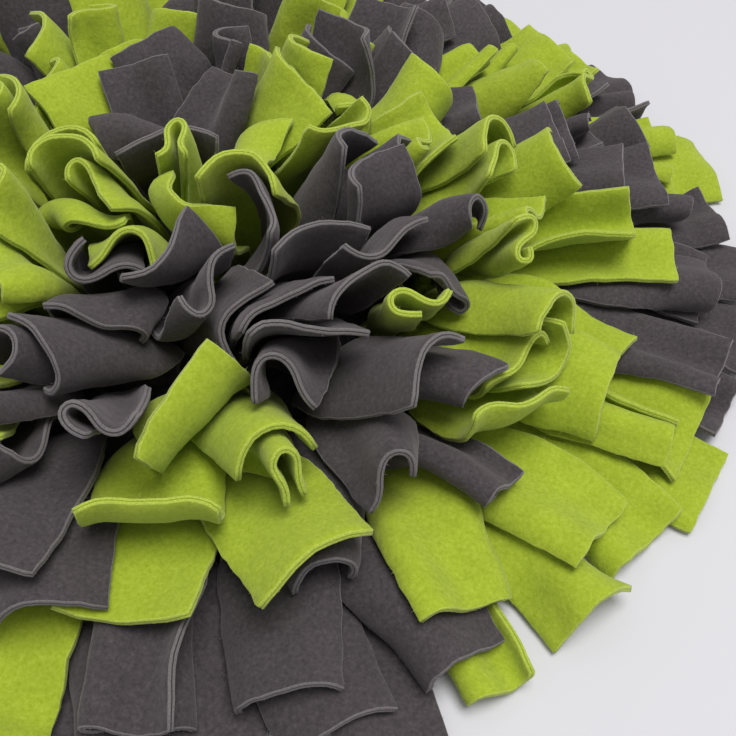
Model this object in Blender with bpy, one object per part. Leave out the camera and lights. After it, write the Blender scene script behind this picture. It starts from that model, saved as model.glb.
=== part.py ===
"""Snuffle mat: a round backing disc that carries bunches of green and slate fleece flaps.

Each bunch is one knot on the backing with four or six flaps of one colour, the free ends
of two or three strips. The flaps stand up over most of the mat and lean out near its rim,
where the last row lies on the floor. Units are metres, +Z is up, and the backing's
underside is centred on the origin.
"""

import math
import random
from dataclasses import dataclass, fields, replace

import bpy
import numpy as np
from mathutils.bvhtree import BVHTree

MM = 0.001
DEG = math.radians(1)

# Fleece strips
STRIP_WIDTH = 31 * MM
STRIP_THICKNESS = 2.2 * MM
FLAP_LENGTH = 60 * MM
PINCHED_WIDTH = 9 * MM  # a strip is gathered where it is tied

# Backing disc and the knots on it
BACKING_RADIUS = 143 * MM
BACKING_THICKNESS = 4 * MM
BACKING_SIDES = 72
KNOT_RADIUS = 15 * MM
KNOT_HEIGHT = 5 * MM
KNOT_SIDES = 8
PIECE_GAP = 0.3 * MM
ROOT_RISE = 1.6 * MM  # from a knot's underside to the middle of a flap's root

# Where the flaps of a bunch rise from their knot: the ends of two strips or of three
TWO_STRIPS = [(x * MM, y * MM) for x in (-6.5, 6.5) for y in (-6.5, 6.5)]
THREE_STRIPS = [(x * MM, y * MM) for x in (-8.8, 0, 8.8) for y in (-5.4, 5.4)]

# Room round each flap, and under the flaps that lie on the floor
CLEARANCE = 0.45 * MM
ROOT_ROOM = 0.2 * MM  # above the backing, where the roots come near it
FLOOR_GAP = 0.2 * MM
LOWEST_MIDDLE = STRIP_THICKNESS / 2 + FLOOR_GAP

# One row for each ring of knots. Colours go anticlockwise: G is green, S is slate.
RINGS = (
    dict(radius=0 * MM, first_angle=0 * DEG, roots=TWO_STRIPS, colours="S"),
    dict(radius=31 * MM, first_angle=10 * DEG, roots=TWO_STRIPS, colours="GSGGGG"),
    dict(radius=63 * MM, first_angle=0 * DEG, roots=THREE_STRIPS, colours="GSGSGSGSGSSS"),
    dict(radius=95 * MM, first_angle=8 * DEG, roots=THREE_STRIPS, colours="SGSGGSGSGSGGSGSGG"),
    dict(radius=127 * MM, first_angle=0 * DEG, roots=TWO_STRIPS, colours="SGSGGSGGSGSGGSGSGSSGGS"),
)
OUTER_RING = RINGS[-1]["radius"]

# Lean from upright, wished for at the outer ring before the flaps are nested
ROOT_LEAN = 58 * DEG
ROOT_LEAN_POWER = 4.0  # how late, on the way out, the flaps start to lean
TIP_EXTRA_MIDDLE = 15 * DEG
TIP_EXTRA_RIM = 45 * DEG
TIP_EXTRA_POWER = 4.0
NESTING_PITCH = 9 * MM  # between the radii at which the leans are worked out
BEND_START = 0.12
BEND_END = 0.75

# How a flap that stands may be shaped. The chances add up to 1.
HABITS = (
    dict(chance=0.35, fold=(50, 120), curl=(-70, 70), wave=(0.0, 0.0)),  # tip folds over
    dict(chance=0.25, fold=None, curl=(-50, 50), wave=(0.5, 1.3)),  # waves across
    dict(chance=0.15, fold=None, curl=(60, 190), wave=(0.0, 0.0)),  # rolls one way
    dict(chance=0.15, fold=None, curl=(-190, -60), wave=(0.0, 0.0)),  # rolls the other way
    dict(chance=0.10, fold=None, curl=(-30, 30), wave=(0.0, 0.0)),  # nearly flat
)
STANDS_BELOW = 30 * DEG  # leans less than this: shaped by its habit
LIES_ABOVE = 55 * DEG  # leans more than this: lies on its neighbours

# How far the knots are turned, and the flaps' directions vary, at random
KNOT_TURN = 34 * DEG
LOOSE_AT_RIM = 14 * DEG
LOOSE_IN_MIDDLE = 92 * DEG
FAN = 8 * DEG

SEED = 7
FIRST_TRIES = 40
ROUNDS = 50
STEP = 0.12
STARTING_WIDTH = 10 * MM
SPINE_STEPS = 36
SECTION_STEPS = 24

MATERIALS = {
    "G": dict(name="green_fleece", colour=(0.30, 0.47, 0.02, 1.0)),
    "S": dict(name="slate_fleece", colour=(0.075, 0.070, 0.075, 1.0)),
    "backing": dict(name="backing_felt", colour=(0.050, 0.048, 0.052, 1.0)),
}
FLEECE_ROUGHNESS = 0.95


@dataclass
class Flap:
    """A strip's free end: a spine that leans and bends, and a section that curls and waves."""

    root: tuple  # middle of the root
    phase: float  # where the wave across starts
    facing: float  # plan direction in which it bends
    side_lean: float  # tilt in its own plane
    root_lean: float
    tip_lean: float
    bend_start: float
    bend_end: float
    length: float
    width: float
    flare: float  # share of the length over which it opens to its full width
    curl: float
    wave: float
    twist: float


SET_ONCE = ("root", "phase")
VARIES = [field.name for field in fields(Flap) if field.name not in SET_ONCE]


def blend(start, goal, share):
    """The flap that lies between two others that have the same root."""
    between = {
        name: getattr(start, name) + (getattr(goal, name) - getattr(start, name)) * share
        for name in VARIES
    }
    return replace(start, **between)


def smooth(x):
    x = np.clip(x, 0.0, 1.0)
    return x * x * (3 - 2 * x)


def running_sum(steps):
    """Sums along the last axis, starting from nought."""
    start = np.zeros(steps.shape[:-1] + (1,))
    return np.concatenate([start, np.cumsum(steps, axis=-1)], axis=-1)


def spine(flap, height_scale=1.0):
    """Lean, reach and height at each step up the flap. It lies level once it meets the floor."""
    s = np.linspace(0, 1, SPINE_STEPS + 1)
    turned = smooth((s - flap.bend_start) / (flap.bend_end - flap.bend_start))
    lean = flap.root_lean + (flap.tip_lean - flap.root_lean) * turned
    middle = (lean[1:] + lean[:-1]) / 2
    step = flap.length / SPINE_STEPS
    reach = running_sum(np.sin(middle) * step)
    height = flap.root[2] + running_sum(np.cos(middle) * step * height_scale)
    off_knot = SPINE_STEPS // 9
    sunk = np.nonzero(height[off_knot:] < LOWEST_MIDDLE)[0]
    if len(sunk):
        first = sunk[0] + off_knot
        way = math.copysign(1, lean[first])
        height[first:] = LOWEST_MIDDLE
        reach[first:] = reach[first - 1] + way * step * np.arange(1, len(reach) - first + 1)
        lean[first:] = way * math.pi / 2
    return s, lean, reach, height


def middle_surface(flap, across, along):
    """Points of the flap's middle surface, (along + 1, across + 1, 3), root row first."""
    cos_side = math.cos(flap.side_lean)
    sin_side = math.sin(flap.side_lean)
    rows = np.round(np.linspace(0, SPINE_STEPS, along + 1)).astype(int)
    s, lean, reach, height = (values[rows] for values in spine(flap, cos_side))

    up = np.array((0.0, 0.0, 1.0))
    out = np.array((math.cos(flap.facing), math.sin(flap.facing), 0.0))
    sideways = np.array((-out[1], out[0], 0.0))
    sin_lean = np.sin(lean)[:, None]
    cos_lean = np.cos(lean)[:, None]
    along_spine = sin_lean * out + cos_lean * up
    face = cos_lean * out - sin_lean * up
    edge_to_edge = sideways * cos_side - along_spine * sin_side

    root = np.array((flap.root[0], flap.root[1], 0.0))
    centre = root + reach[:, None] * cos_side * out + height[:, None] * up
    centre = centre + (s * flap.length * sin_side)[:, None] * sideways
    twist = (flap.twist * smooth(s))[:, None]
    width_axis = np.cos(twist) * edge_to_edge + np.sin(twist) * face
    depth_axis = np.cos(twist) * face - np.sin(twist) * edge_to_edge

    width = PINCHED_WIDTH + (flap.width - PINCHED_WIDTH) * smooth(s / flap.flare)
    grown = smooth((s - 0.04) / 0.55)
    u = (np.arange(SECTION_STEPS) + 0.5) / SECTION_STEPS - 0.5
    shape = flap.curl * u + flap.wave * np.sin(2 * math.pi * u + flap.phase)
    slope = grown[:, None] * shape
    x = running_sum(np.cos(slope) * width[:, None] / SECTION_STEPS)
    y = running_sum(np.sin(slope) * width[:, None] / SECTION_STEPS)
    x = x - x.mean(axis=1, keepdims=True)
    y = y - y.mean(axis=1, keepdims=True)
    columns = np.round(np.linspace(0, SECTION_STEPS, across + 1)).astype(int)

    points = (
        centre[:, None]
        + x[:, columns, None] * width_axis[:, None]
        + y[:, columns, None] * depth_axis[:, None]
    )
    points[1:, :, 2] = np.maximum(points[1:, :, 2], LOWEST_MIDDLE)
    return points


def sheet(points, thickness):
    """Vertices and faces of a closed sheet with this middle surface."""
    normal = np.cross(np.gradient(points, axis=1), np.gradient(points, axis=0))
    normal /= np.linalg.norm(normal, axis=2, keepdims=True)
    half = normal * thickness / 2
    vertices = np.concatenate([(points + half).reshape(-1, 3), (points - half).reshape(-1, 3)])
    along, across = points.shape[0] - 1, points.shape[1] - 1
    index = np.arange((along + 1) * (across + 1)).reshape(along + 1, across + 1)
    under = index.size
    faces = []
    for i in range(along):
        for j in range(across):
            a, b, c, d = index[i, j], index[i, j + 1], index[i + 1, j + 1], index[i + 1, j]
            faces.append((a, b, c, d))
            faces.append((a + under, d + under, c + under, b + under))
    rim = [*index[0, :-1], *index[:-1, -1], *index[-1, :0:-1], *index[:0:-1, 0]]
    for a, b in zip(rim, rim[1:] + rim[:1]):
        faces.append((a + under, b + under, b, a))
    return vertices, [tuple(map(int, face)) for face in faces]


def divisions(flap):
    """How many faces the flap takes across and along, from how far it curls and bends."""
    curled = abs(flap.curl) + 4 * abs(flap.wave)
    bent = abs(flap.tip_lean - flap.root_lean)
    across = 1 + sum(curled > limit * DEG for limit in (45, 100, 180))
    along = 2 + sum(bent > limit * DEG for limit in (40, 85))
    return across, along


def nested_leans():
    """Root and tip lean of the row at each radius, from the rim in, each clear of the last."""
    rows = []
    outer = None
    outermost = OUTER_RING + math.hypot(*TWO_STRIPS[0])
    for radius in np.arange(outermost, NESTING_PITCH / 2, -NESTING_PITCH):
        share = min(radius / OUTER_RING, 1.1)
        wished_lean = ROOT_LEAN * share**ROOT_LEAN_POWER
        extra = TIP_EXTRA_MIDDLE + TIP_EXTRA_RIM * share**TIP_EXTRA_POWER
        for ease in np.linspace(1, 0, 51):
            root_lean = wished_lean * ease
            tip_lean = root_lean + extra * (0.3 + 0.7 * ease)
            flap = plain_flap((radius, 0.0), 0.0, root_lean, tip_lean)
            _, _, reach, height = spine(flap)
            path = np.stack([radius + reach, height], axis=1)
            if outer is None:
                break
            apart = np.linalg.norm(path[:, None] - outer[None], axis=2).min()
            if apart >= STRIP_THICKNESS + 4 * CLEARANCE:
                break
        rows.append((radius, root_lean, tip_lean))
        outer = path
    return np.array(rows[::-1]).T


def plain_flap(place, facing, root_lean, tip_lean):
    """A narrow flat flap, which leans out and bends."""
    root = (place[0], place[1], BACKING_THICKNESS + PIECE_GAP + ROOT_RISE)
    return Flap(
        root=root,
        phase=0.0,
        facing=facing,
        side_lean=0.0,
        root_lean=root_lean,
        tip_lean=tip_lean,
        bend_start=BEND_START,
        bend_end=BEND_END,
        length=FLAP_LENGTH,
        width=STARTING_WIDTH,
        flare=0.5,
        curl=0.0,
        wave=0.0,
        twist=0.0,
    )


def knots():
    """Each knot's centre and colour, how far it is turned, and how loosely its flaps point."""
    rng = random.Random(SEED)
    found = []
    for ring in RINGS:
        count = len(ring["colours"])
        inward = 1 - ring["radius"] / OUTER_RING
        loose = LOOSE_AT_RIM + (LOOSE_IN_MIDDLE - LOOSE_AT_RIM) * inward**0.8
        for number, colour in enumerate(ring["colours"]):
            angle = ring["first_angle"] + 2 * math.pi * number / count
            centre = np.array((math.cos(angle), math.sin(angle))) * ring["radius"]
            turn = angle + rng.uniform(-KNOT_TURN, KNOT_TURN)
            knot = dict(centre=centre, colour=colour, turn=turn, loose=loose)
            found.append(dict(knot, roots=ring["roots"]))
    return found


def first_shape(knot, root, leans, rng):
    """The narrow flap that one of a bunch starts from. It leans as its place on the mat does."""
    along = np.array((math.cos(knot["turn"]), math.sin(knot["turn"])))
    aside = np.array((-along[1], along[0]))
    place = knot["centre"] + root[0] * along + root[1] * aside
    radius = math.hypot(*place)
    outward = knot["loose"] * rng.uniform(-1, 1)
    facing = math.atan2(place[1], place[0]) - outward
    root_lean = float(np.interp(radius, leans[0], leans[1]))
    tip_lean = float(np.interp(radius, leans[0], leans[2]))
    lean = root_lean * math.cos(outward)
    flap = plain_flap(place, facing, lean, lean + math.copysign(tip_lean - root_lean, lean))
    flap.side_lean = root_lean * math.sin(outward) * 0.8 + rng.uniform(-FAN, FAN)
    flap.length = FLAP_LENGTH * rng.uniform(0.92, 1.08)
    flap.curl = -STARTING_WIDTH / (radius + STARTING_WIDTH) * math.cos(lean)
    flap.phase = rng.choice((0.0, math.pi / 2))
    return flap


def wished_shape(first, rng):
    """A full-width shape for the flap to open towards."""
    goal = replace(first)
    goal.width = STRIP_WIDTH * rng.uniform(0.95, 1.08)
    goal.facing = first.facing + rng.gauss(0, 0.22)
    goal.side_lean = first.side_lean + rng.gauss(0, 0.12)
    goal.bend_end = rng.uniform(0.7, 1.0)
    goal.flare = rng.uniform(0.4, 0.6)
    goal.twist = rng.gauss(0, 0.3)
    way = math.copysign(1, first.root_lean)
    lying = smooth((first.root_lean - STANDS_BELOW) / (LIES_ABOVE - STANDS_BELOW))
    if rng.random() < lying:
        goal.root_lean = first.root_lean + rng.gauss(0, 0.1)
        goal.tip_lean = first.tip_lean + way * rng.uniform(-15, 40) * DEG
        goal.curl = rng.uniform(-50, 50) * DEG
        return goal
    habit = rng.choices(HABITS, [habit["chance"] for habit in HABITS])[0]
    goal.curl = rng.uniform(*habit["curl"]) * DEG
    goal.wave = rng.choice((-1, 1)) * rng.uniform(*habit["wave"])
    if habit["fold"]:
        goal.tip_lean = first.root_lean + way * rng.uniform(*habit["fold"]) * DEG
        goal.bend_start = rng.uniform(0.2, 0.45)
    return goal


def prism(centre, radius, low, high, sides):
    """Vertices and faces of an upright prism."""
    angles = (np.arange(sides) + 0.5) * 2 * math.pi / sides
    x = centre[0] + radius * np.cos(angles)
    y = centre[1] + radius * np.sin(angles)
    vertices = np.array([(*point, z) for z in (low, high) for point in zip(x, y)])
    bottom = tuple(range(sides))
    faces = [bottom[::-1], tuple(i + sides for i in bottom)]
    for i, j in zip(bottom, bottom[1:] + bottom[:1]):
        faces.append((i, j, j + sides, i + sides))
    return vertices, faces


def knot_shape(centre, grown=0.0):
    """A knot is a low prism on the backing."""
    low = BACKING_THICKNESS + PIECE_GAP - grown
    high = BACKING_THICKNESS + PIECE_GAP + KNOT_HEIGHT + grown
    return prism(centre, KNOT_RADIUS + grown, low, high, KNOT_SIDES)


def backing_shape(grown=0.0):
    """The disc. Where it is grown, its top stays under the roots of the flaps."""
    high = BACKING_THICKNESS + min(grown, ROOT_ROOM)
    return prism((0.0, 0.0), BACKING_RADIUS + grown, 0.0, high, BACKING_SIDES)


class Crowd:
    """The bodies that are in place, each with its own knot, to test that a new one is clear."""

    def __init__(self):
        self.trees = []
        self.knot_of = []
        self.low = np.empty((0, 3))
        self.high = np.empty((0, 3))

    def add(self, body, knot=None):
        tree, low, high = body
        self.trees.append(tree)
        self.knot_of.append(knot)
        self.low = np.vstack([self.low, low])
        self.high = np.vstack([self.high, high])
        return len(self.trees) - 1

    def replace(self, place, body):
        self.trees[place], self.low[place], self.high[place] = body

    def is_clear(self, body, place=None, knot=None):
        tree, low, high = body
        near = np.nonzero(((self.low < high) & (self.high > low)).all(axis=1))[0]
        for other in near:
            if other == place or (knot is not None and self.knot_of[other] == knot):
                continue
            if self.trees[other].overlap(tree):
                return False
        return True


def body_of(vertices, faces):
    tree = BVHTree.FromPolygons(vertices.tolist(), faces)
    return tree, vertices.min(axis=0), vertices.max(axis=0)


def flap_body(flap):
    """The flap with the clearance that it keeps on both faces."""
    return body_of(*sheet(middle_surface(flap, *divisions(flap)), STRIP_THICKNESS + 2 * CLEARANCE))


def arranged_flaps(bunches):
    """(knot number, flap) of each flap, opened from narrow flat ones as far as there is room."""
    rng = random.Random(SEED)
    leans = nested_leans()
    crowd = Crowd()
    crowd.add(body_of(*backing_shape(CLEARANCE)))
    for number, knot in enumerate(bunches):
        crowd.add(body_of(*knot_shape(knot["centre"], CLEARANCE)), knot=number)
    flaps = []
    for number, knot in enumerate(bunches):
        for root in knot["roots"]:
            for _ in range(FIRST_TRIES):
                first = first_shape(knot, root, leans, rng)
                body = flap_body(first)
                if crowd.is_clear(body, knot=number):
                    break
            else:
                continue
            state = dict(knot=number, first=first, now=first, start=first, share=0.0, tries=0)
            state["place"] = crowd.add(body)
            state["goal"] = wished_shape(first, rng)
            flaps.append(state)
    order = list(range(len(flaps)))
    for turn in range(ROUNDS):
        rng.shuffle(order)
        for state in (flaps[i] for i in order):
            open_a_little(state, crowd, rng, late=turn > ROUNDS / 2)
    return [(state["knot"], state["now"]) for state in flaps]


def open_a_little(state, crowd, rng, late):
    """One step towards the flap's goal, or a new goal where it is in its neighbours' way."""
    if state["share"] >= 1:
        return
    share = min(1.0, state["share"] + STEP)
    flap = blend(state["start"], state["goal"], share)
    body = flap_body(flap)
    if crowd.is_clear(body, state["place"], state["knot"]):
        crowd.replace(state["place"], body)
        state.update(now=flap, share=share, tries=0)
        return
    state["tries"] += 1
    if state["tries"] > 1:
        goal = wished_shape(state["first"], rng)
        if late:
            kept = ("root_lean", "tip_lean", "side_lean", "facing", "twist")
            shift = blend(state["now"], goal, 0.3)
            goal = replace(goal, **{name: getattr(shift, name) for name in kept})
        goal.phase = state["now"].phase
        state.update(start=state["now"], goal=goal, share=0.0, tries=0)


def material(key):
    """The material of this key, made when it is first asked for."""
    look = MATERIALS[key]
    found = bpy.data.materials.get(look["name"])
    if found:
        return found
    made = bpy.data.materials.new(look["name"])
    made.use_nodes = True
    shader = made.node_tree.nodes["Principled BSDF"]
    shader.inputs["Base Color"].default_value = look["colour"]
    shader.inputs["Roughness"].default_value = FLEECE_ROUGHNESS
    shader.inputs["Metallic"].default_value = 0.0
    return made


def add_object(name, vertices, faces, key):
    mesh = bpy.data.meshes.new(name)
    mesh.from_pydata([tuple(map(float, vertex)) for vertex in vertices], [], faces)
    mesh.materials.append(material(key))
    made = bpy.data.objects.new(name, mesh)
    bpy.context.scene.collection.objects.link(made)
    return made


def add_bunch(number, knot, flaps):
    """Adds a knot with its flaps joined to it."""
    key = knot["colour"]
    name = MATERIALS[key]["name"].split("_")[0] + f"_bunch_{number:02d}"
    bunch = add_object(name, *knot_shape(knot["centre"]), key)
    vertices = []
    faces = []
    for flap in flaps:
        points, quads = sheet(middle_surface(flap, *divisions(flap)), STRIP_THICKNESS)
        faces += [tuple(index + len(vertices) for index in quad) for quad in quads]
        vertices += list(points)
    loose = add_object(name + "_flaps", vertices, faces, key)
    loose.hide_render = True
    loose.display_type = "WIRE"
    joined = bunch.modifiers.new("flaps", "BOOLEAN")
    joined.operation = "UNION"
    joined.object = loose


def main():
    for leftover in list(bpy.data.objects):
        bpy.data.objects.remove(leftover)
    add_object("backing", *backing_shape(), "backing")
    bunches = knots()
    flaps = arranged_flaps(bunches)
    for number, knot in enumerate(bunches):
        add_bunch(number, knot, [flap for owner, flap in flaps if owner == number])


main()
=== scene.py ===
"""The snuffle mat's looks: crowded fleece flaps on their knots, a felt backing, light and camera.

The flaps start from the shapes of their solids. Each then opens to its strip's full width
and is settled as cloth: it keeps its size and its own curl, bends where its neighbours
press on it, and stays clear of them and of the floor. Units are metres.
"""

import math
import random
from dataclasses import dataclass, fields, replace

import bpy
import numpy as np
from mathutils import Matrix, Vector
from mathutils.bvhtree import BVHTree


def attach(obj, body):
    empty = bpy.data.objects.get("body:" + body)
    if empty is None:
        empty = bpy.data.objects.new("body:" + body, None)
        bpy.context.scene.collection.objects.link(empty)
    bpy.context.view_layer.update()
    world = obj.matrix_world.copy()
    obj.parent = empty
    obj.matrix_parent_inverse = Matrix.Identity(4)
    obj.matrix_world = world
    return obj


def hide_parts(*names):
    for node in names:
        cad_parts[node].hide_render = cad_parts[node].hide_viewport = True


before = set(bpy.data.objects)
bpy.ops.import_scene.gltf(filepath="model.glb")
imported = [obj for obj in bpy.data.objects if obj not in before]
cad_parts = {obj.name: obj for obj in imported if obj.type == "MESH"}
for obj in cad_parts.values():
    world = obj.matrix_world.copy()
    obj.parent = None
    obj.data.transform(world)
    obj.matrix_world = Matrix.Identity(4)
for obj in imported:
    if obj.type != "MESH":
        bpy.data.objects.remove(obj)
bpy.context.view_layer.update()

MM = 0.001
DEG = math.radians(1)

# Fleece strips
STRIP_WIDTH = 31 * MM
STRIP_THICKNESS = 2.2 * MM
FLAP_LENGTH = 60 * MM
PINCHED_WIDTH = 9 * MM  # a strip is gathered where it is tied

# Backing disc and the knots on it
BACKING_RADIUS = 143 * MM
BACKING_THICKNESS = 4 * MM
BACKING_SIDES = 72
KNOT_RADIUS = 15 * MM
KNOT_HEIGHT = 5 * MM
KNOT_SIDES = 8
PIECE_GAP = 0.3 * MM
ROOT_RISE = 1.6 * MM  # from a knot's underside to the middle of a flap's root

# Where the flaps of a bunch rise from their knot: the ends of two strips or of three
TWO_STRIPS = [(x * MM, y * MM) for x in (-6.5, 6.5) for y in (-6.5, 6.5)]
THREE_STRIPS = [(x * MM, y * MM) for x in (-8.8, 0, 8.8) for y in (-5.4, 5.4)]

# Room round each flap, and under the flaps that lie on the floor
CLEARANCE = 0.45 * MM
ROOT_ROOM = 0.2 * MM  # above the backing, where the roots come near it
FLOOR_GAP = 0.2 * MM
LOWEST_MIDDLE = STRIP_THICKNESS / 2 + FLOOR_GAP

# One row for each ring of knots. Colours go anticlockwise: G is green, S is slate.
RINGS = (
    dict(radius=0 * MM, first_angle=0 * DEG, roots=TWO_STRIPS, colours="S"),
    dict(radius=31 * MM, first_angle=10 * DEG, roots=TWO_STRIPS, colours="GSGGGG"),
    dict(radius=63 * MM, first_angle=0 * DEG, roots=THREE_STRIPS, colours="GSGSGSGSGSSS"),
    dict(radius=95 * MM, first_angle=8 * DEG, roots=THREE_STRIPS, colours="SGSGGSGSGSGGSGSGG"),
    dict(radius=127 * MM, first_angle=0 * DEG, roots=TWO_STRIPS, colours="SGSGGSGGSGSGGSGSGSSGGS"),
)
OUTER_RING = RINGS[-1]["radius"]

# Lean from upright, wished for at the outer ring before the flaps are nested
ROOT_LEAN = 58 * DEG
ROOT_LEAN_POWER = 4.0  # how late, on the way out, the flaps start to lean
TIP_EXTRA_MIDDLE = 15 * DEG
TIP_EXTRA_RIM = 45 * DEG
TIP_EXTRA_POWER = 4.0
NESTING_PITCH = 9 * MM  # between the radii at which the leans are worked out
BEND_START = 0.12
BEND_END = 0.75
MOST_OUT = 1.1  # the leans grow no more beyond this share of the outer ring's radius
NESTING_GAP = STRIP_THICKNESS + 4 * CLEARANCE
EASINGS = 51  # steps in which a row's lean eases until it clears the row outside it
EASED_TIP = 0.3  # share of the tip's extra lean that stays

# How a flap that stands may be shaped. The chances add up to 1.
HABITS = (
    dict(chance=0.35, fold=(50, 120), curl=(-70, 70), wave=(0.0, 0.0)),  # tip folds over
    dict(chance=0.25, fold=None, curl=(-50, 50), wave=(0.5, 1.3)),  # waves across
    dict(chance=0.15, fold=None, curl=(60, 190), wave=(0.0, 0.0)),  # rolls one way
    dict(chance=0.15, fold=None, curl=(-190, -60), wave=(0.0, 0.0)),  # rolls the other way
    dict(chance=0.10, fold=None, curl=(-30, 30), wave=(0.0, 0.0)),  # nearly flat
)
STANDS_BELOW = 30 * DEG  # leans less than this: shaped by its habit
LIES_ABOVE = 55 * DEG  # leans more than this: lies on its neighbours

# How far the knots are turned, and the flaps' directions vary, at random
KNOT_TURN = 34 * DEG
LOOSE_AT_RIM = 14 * DEG
LOOSE_IN_MIDDLE = 92 * DEG
LOOSE_POWER = 0.8
FAN = 8 * DEG
SIDE_LEAN_SHARE = 0.8
LENGTH_RANGE = (0.92, 1.08)

# How the shape that a flap opens towards varies. The two ranges of lying flaps are in degrees.
OPENED_RANGE = (0.95, 1.08)
BEND_END_RANGE = (0.7, 1.0)
FOLD_START_RANGE = (0.2, 0.45)
FLARE_RANGE = (0.4, 0.6)
FACING_SPREAD = 0.22
SIDE_SPREAD = 0.12
TWIST_SPREAD = 0.3
LYING_LEAN_SPREAD = 0.1
LYING_TIP_RANGE = (-15, 40)
LYING_CURL_RANGE = (-50, 50)

# Opening the flaps among each other, step by step
SEED = 7
FIRST_TRIES = 40
ROUNDS = 50
STEP = 0.12
LATE_SHIFT = 0.3  # in the later rounds, a new goal differs less in its leans
STARTING_WIDTH = 10 * MM
STARTING_FLARE = 0.5

# How finely a flap is worked out: its spine, its section, and the faces that it takes
SPINE_STEPS = 36
ON_KNOT_STEPS = SPINE_STEPS // 9
SECTION_STEPS = 24
CURL_FROM = 0.04  # shares of the length between which the curl grows
CURL_OVER = 0.55
CURL_LIMITS = (45 * DEG, 100 * DEG, 180 * DEG)  # one more face across past each
BEND_LIMITS = (40 * DEG, 85 * DEG)  # one more face along past each

TINY = 1e-12  # in place of a nought below the line


@dataclass
class Flap:
    """A strip's free end: a spine that leans and bends, and a section that curls and waves."""

    root: tuple  # middle of the root
    facing: float  # plan direction in which it bends
    root_lean: float
    tip_lean: float
    side_lean: float = 0.0  # tilt in its own plane
    bend_start: float = BEND_START
    bend_end: float = BEND_END
    length: float = FLAP_LENGTH
    width: float = STARTING_WIDTH
    flare: float = STARTING_FLARE  # share of the length over which it opens to its full width
    curl: float = 0.0
    wave: float = 0.0
    phase: float = 0.0  # where the wave across starts
    twist: float = 0.0


SET_ONCE = ("root", "phase")
VARIES = [field.name for field in fields(Flap) if field.name not in SET_ONCE]


def blend(start, goal, share):
    """The flap that lies between two others that have the same root."""
    between = {
        name: getattr(start, name) + (getattr(goal, name) - getattr(start, name)) * share
        for name in VARIES
    }
    return replace(start, **between)


def smooth(x):
    x = np.clip(x, 0, 1)
    return x * x * (3 - 2 * x)


def running_sum(steps):
    """Sums along the last axis, starting from nought."""
    start = np.zeros(steps.shape[:-1] + (1,))
    return np.concatenate([start, np.cumsum(steps, axis=-1)], axis=-1)


def spine(flap, height_scale=1.0):
    """Lean, reach and height at each step up the flap. It lies level once it meets the floor."""
    s = np.linspace(0, 1, SPINE_STEPS + 1)
    turned = smooth((s - flap.bend_start) / (flap.bend_end - flap.bend_start))
    lean = flap.root_lean + (flap.tip_lean - flap.root_lean) * turned
    middle = (lean[1:] + lean[:-1]) / 2
    step = flap.length / SPINE_STEPS
    reach = running_sum(np.sin(middle) * step)
    height = flap.root[2] + running_sum(np.cos(middle) * step * height_scale)
    sunk = np.nonzero(height[ON_KNOT_STEPS:] < LOWEST_MIDDLE)[0]
    if len(sunk):
        first = sunk[0] + ON_KNOT_STEPS
        way = math.copysign(1, lean[first])
        height[first:] = LOWEST_MIDDLE
        reach[first:] = reach[first - 1] + way * step * np.arange(1, len(reach) - first + 1)
        lean[first:] = way * math.pi / 2
    return s, lean, reach, height


def middle_surface(flap, across, along):
    """Points of the flap's middle surface, (along + 1, across + 1, 3), root row first."""
    cos_side = math.cos(flap.side_lean)
    sin_side = math.sin(flap.side_lean)
    rows = np.round(np.linspace(0, SPINE_STEPS, along + 1)).astype(int)
    s, lean, reach, height = (values[rows] for values in spine(flap, cos_side))

    up = np.array((0.0, 0.0, 1.0))
    out = np.array((math.cos(flap.facing), math.sin(flap.facing), 0.0))
    sideways = np.array((-out[1], out[0], 0.0))
    sin_lean = np.sin(lean)[:, None]
    cos_lean = np.cos(lean)[:, None]
    along_spine = sin_lean * out + cos_lean * up
    face = cos_lean * out - sin_lean * up
    edge_to_edge = sideways * cos_side - along_spine * sin_side

    root = np.array((flap.root[0], flap.root[1], 0.0))
    centre = root + reach[:, None] * cos_side * out + height[:, None] * up
    centre = centre + (s * flap.length * sin_side)[:, None] * sideways
    twist = (flap.twist * smooth(s))[:, None]
    width_axis = np.cos(twist) * edge_to_edge + np.sin(twist) * face
    depth_axis = np.cos(twist) * face - np.sin(twist) * edge_to_edge

    width = PINCHED_WIDTH + (flap.width - PINCHED_WIDTH) * smooth(s / flap.flare)
    grown = smooth((s - CURL_FROM) / CURL_OVER)
    u = (np.arange(SECTION_STEPS) + 0.5) / SECTION_STEPS - 0.5
    shape = flap.curl * u + flap.wave * np.sin(2 * math.pi * u + flap.phase)
    slope = grown[:, None] * shape
    x = running_sum(np.cos(slope) * width[:, None] / SECTION_STEPS)
    y = running_sum(np.sin(slope) * width[:, None] / SECTION_STEPS)
    x = x - x.mean(axis=1, keepdims=True)
    y = y - y.mean(axis=1, keepdims=True)
    columns = np.round(np.linspace(0, SECTION_STEPS, across + 1)).astype(int)

    points = (
        centre[:, None]
        + x[:, columns, None] * width_axis[:, None]
        + y[:, columns, None] * depth_axis[:, None]
    )
    points[1:, :, 2] = np.maximum(points[1:, :, 2], LOWEST_MIDDLE)
    return points


def grid_normals(points):
    """Unit normals of one grid of points, (rows, columns, 3), or of many at once."""
    normal = np.cross(np.gradient(points, axis=-2), np.gradient(points, axis=-3))
    return normal / np.maximum(np.linalg.norm(normal, axis=-1, keepdims=True), TINY)


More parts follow.
